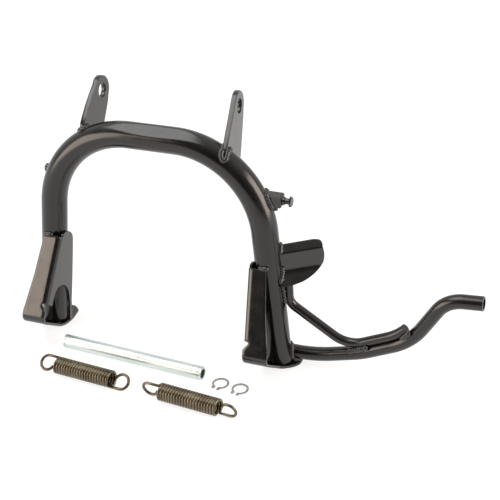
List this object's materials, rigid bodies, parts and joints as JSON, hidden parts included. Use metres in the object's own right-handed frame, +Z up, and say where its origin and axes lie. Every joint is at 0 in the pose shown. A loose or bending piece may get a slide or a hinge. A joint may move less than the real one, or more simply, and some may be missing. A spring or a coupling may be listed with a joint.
{
  "type": "motorcycle centre stand",
  "caption": "Welded tube centre stand with pivot ears, pressed foot shoes and a bent pedal arm, with its hollow pivot shaft, springs and retaining rings laid beside it.",
  "frame": {"origin": "on the floor, under the middle of the whole set's bounding box", "axes": "+X along the pivot line towards the pedal arm, +Y from the laid-out shaft and springs towards the stand's pivot ears, +Z up"},
  "size_m": [0.5382, 0.2012, 0.3025],
  "materials": {
    "black_paint": "gloss black paint on welded steel",
    "zinc_plate": "bright zinc plate with a faint blue-green tint",
    "oiled_spring_steel": "oil-blackened spring wire, semi-gloss olive brown",
    "ring_steel": "phosphated spring steel, dark grey"
  },
  "bodies": {
    "root": {"hoop_tube": "black_paint", "left_pivot_ear": "black_paint", "right_pivot_ear": "black_paint", "left_shoe": "black_paint", "right_shoe": "black_paint", "pedal_arm": "black_paint", "arm_brace": "black_paint", "tread_plate": "black_paint", "peg_block": "black_paint", "spring_peg": "black_paint", "left_stub": "black_paint", "pivot_shaft": "zinc_plate", "front_left_spring": "oiled_spring_steel", "front_right_spring": "oiled_spring_steel", "inner_ring": "ring_steel", "outer_ring": "ring_steel", "left_ear_weld": "black_paint", "right_ear_weld": "black_paint", "left_shoe_weld": "black_paint", "right_shoe_weld": "black_paint", "brace_weld": "black_paint", "tread_weld": "black_paint", "block_weld": "black_paint"}
  },
  "joints": []
}
